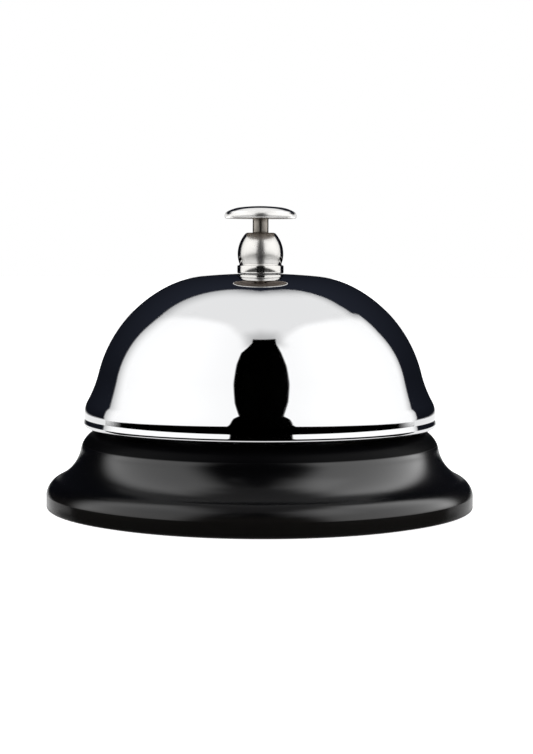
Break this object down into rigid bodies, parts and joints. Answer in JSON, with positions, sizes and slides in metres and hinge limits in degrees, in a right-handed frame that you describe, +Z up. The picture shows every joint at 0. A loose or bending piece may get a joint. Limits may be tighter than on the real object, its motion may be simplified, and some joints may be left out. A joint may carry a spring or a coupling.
{
  "type": "service bell",
  "caption": "Counter call bell: a chromed domed gong with a flared rim on a black flared base, rung by a push button on a ball-shaped nut.",
  "frame": {"origin": "on the counter under the centre of the base, on the bell's axis", "axes": "+Z up along the bell's axis; the striker's arm points to +X and the strap under the base runs along Y"},
  "size_m": [0.085, 0.085, 0.06],
  "materials": {
    "gong_chrome": "polished chrome plate",
    "polished_nickel": "polished nickel plate, slightly warm",
    "black_paint": "semi-gloss black paint on pressed steel",
    "black_rubber": "moulded matt rubber",
    "zinc_plated_steel": "zinc plated, satin",
    "spring_steel": "oiled spring steel",
    "brass": "turned brass",
    "red_fibre": "vulcanised fibre, matt"
  },
  "bodies": {
    "stand": {"base_shell": "black_paint", "foot_ring": "black_rubber", "bridge_strap": "zinc_plated_steel", "strap_rivet_1": "zinc_plated_steel", "strap_rivet_2": "zinc_plated_steel", "strap_rivet_3": "zinc_plated_steel", "strap_rivet_4": "zinc_plated_steel", "yoke_rivet_1": "zinc_plated_steel", "yoke_rivet_2": "zinc_plated_steel", "striker_yoke": "zinc_plated_steel", "centre_stud": "zinc_plated_steel", "stud_nut": "zinc_plated_steel", "lock_washer": "zinc_plated_steel", "gong_washer": "red_fibre", "gong": "gong_chrome", "ball_nut": "polished_nickel", "return_spring": "spring_steel", "pivot_pin": "zinc_plated_steel", "pin_clip": "spring_steel"},
    "plunger": {"plunger_button": "polished_nickel", "plunger_rod": "polished_nickel", "spring_clip": "spring_steel"},
    "striker": {"striker_lever": "zinc_plated_steel", "striker_head": "brass"}
  },
  "joints": [
    {"name": "plunger_slide", "type": "slide", "parent": "stand", "child": "plunger", "axis": [0, 0, -1], "range_m": [0, 0.0025], "stiffness_N_per_m": 300, "springref_m": -0.004, "deforming": ["return_spring"]},
    {"name": "striker_swing", "type": "hinge", "parent": "stand", "child": "striker", "pos_m": [0.0051, 0, 0.0332], "axis": [0, -1, 0], "range_deg": [0, 28]}
  ],
  "couplings": [
    {"joint": "striker_swing", "follows": "plunger_slide", "rad_per_m": 195.4}
  ]
}
